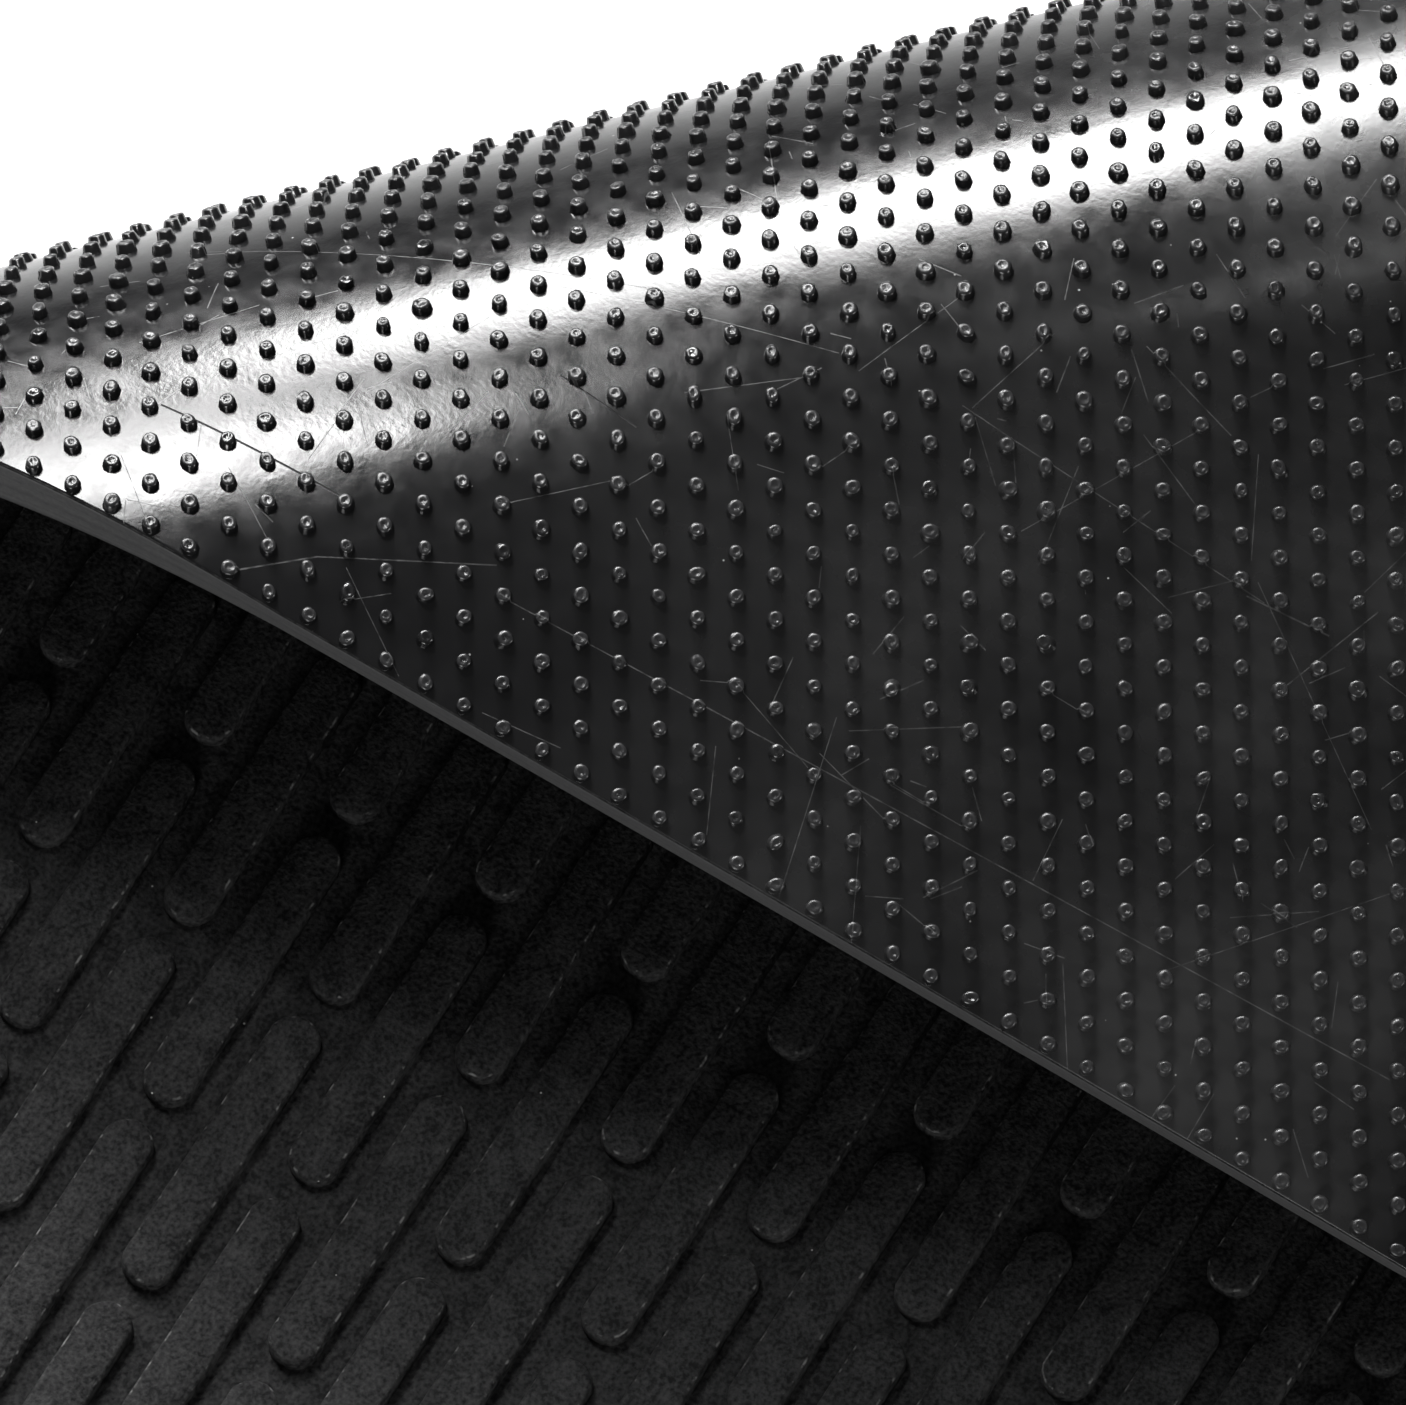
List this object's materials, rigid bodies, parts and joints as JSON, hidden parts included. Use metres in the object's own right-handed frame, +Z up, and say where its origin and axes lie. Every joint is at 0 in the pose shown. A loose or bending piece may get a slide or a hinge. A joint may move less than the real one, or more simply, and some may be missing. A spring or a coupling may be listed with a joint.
{
  "type": "rubber scraper mat",
  "caption": "Moulded rubber floor mat with long round-ended scraper bars on top, a nubbed gripper underside and one corner turned over.",
  "frame": {"origin": "on the floor, under the middle of the mat's outline", "axes": "+X along the long side, +Y along the short side towards the long edge whose corner is turned over, +Z up"},
  "size_m": [0.9156, 0.6108, 0.0985],
  "materials": {
    "moulded_rubber": "matte"
  },
  "bodies": {
    "root": {"scraper_mat": "moulded_rubber"}
  },
  "joints": []
}
